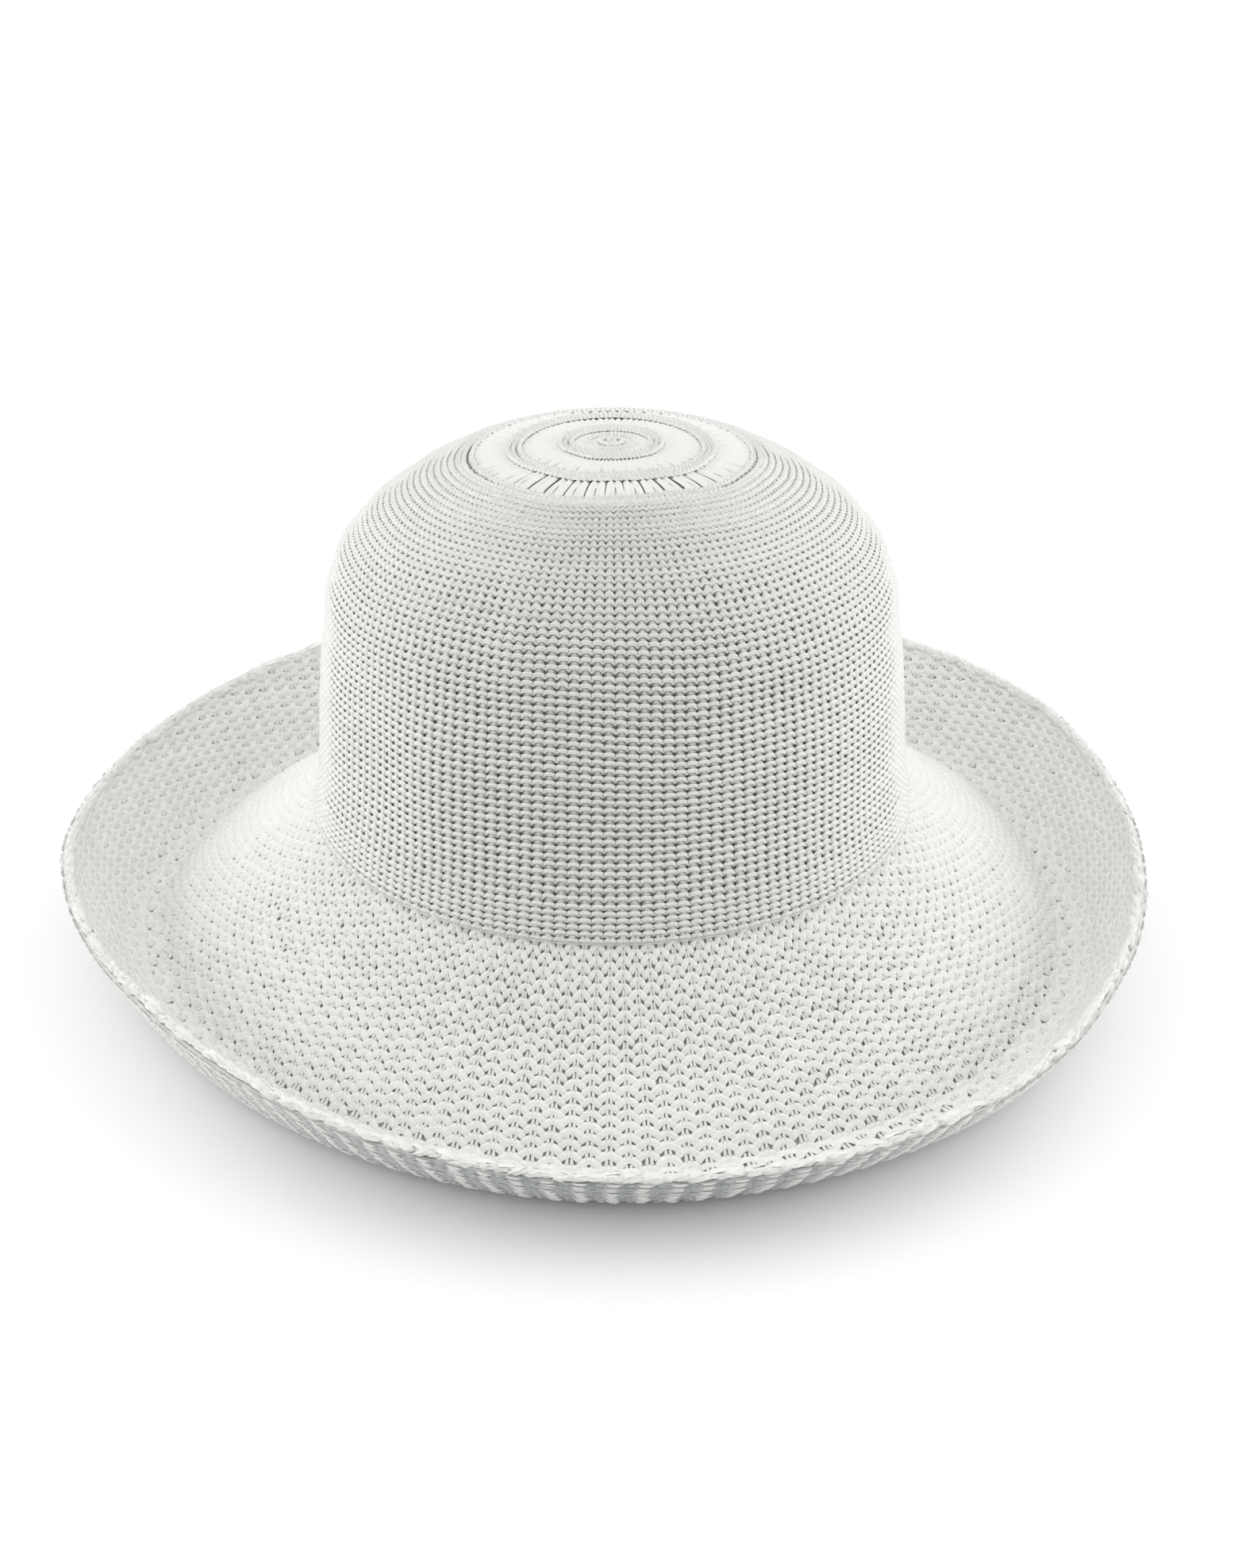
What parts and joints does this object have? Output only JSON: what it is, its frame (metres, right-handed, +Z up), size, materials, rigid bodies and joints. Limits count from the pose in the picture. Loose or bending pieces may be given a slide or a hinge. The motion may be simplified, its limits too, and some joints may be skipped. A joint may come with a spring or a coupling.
{
  "type": "knitted sun hat with a turned-up brim",
  "caption": "Knitted sun hat with a rounded openwork-topped crown and a wide sloping brim that turns up all round into a rolled edge.",
  "frame": {"origin": "middle of the hat's box, on the surface that it rests on", "axes": "+Z up through the crown, -Y to the front of the hat"},
  "size_m": [0.3446, 0.3452, 0.1485],
  "materials": {
    "crown_knit": "matte knitted yarn",
    "brim_knit": "matte knitted yarn",
    "edge_knit": "slightly shiny rolled yarn"
  },
  "bodies": {
    "root": {"crown": "crown_knit", "brim": "brim_knit", "brim_edge": "edge_knit"}
  },
  "joints": []
}
